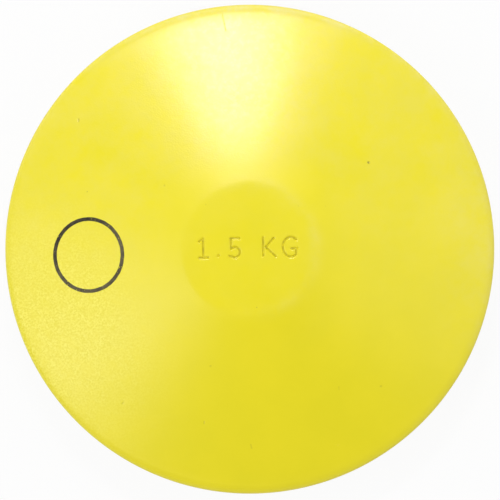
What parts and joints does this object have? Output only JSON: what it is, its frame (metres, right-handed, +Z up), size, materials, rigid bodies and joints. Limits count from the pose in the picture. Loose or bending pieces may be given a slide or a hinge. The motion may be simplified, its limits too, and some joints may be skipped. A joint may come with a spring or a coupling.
{
  "type": "throwing discus",
  "caption": "Moulded yellow rubber throwing discus with flat centres, shallow cone faces, a blunt rounded rim, a sunk weight mark and an inner steel weight ring.",
  "frame": {"origin": "centre of the lower flat, which rests on the ground", "axes": "+Z up along the spin axis, +X to the right as the weight mark on the upper flat is read, +Y towards the top of the mark"},
  "size_m": [0.2, 0.2, 0.039],
  "materials": {
    "yellow_rubber": "satin",
    "weight_steel": "satin",
    "black_ink": "satin"
  },
  "bodies": {
    "root": {"lower_rubber_half": "yellow_rubber", "steel_weight_ring": "weight_steel", "upper_rubber_half": "yellow_rubber", "printed_oval": "black_ink"}
  },
  "joints": []
}
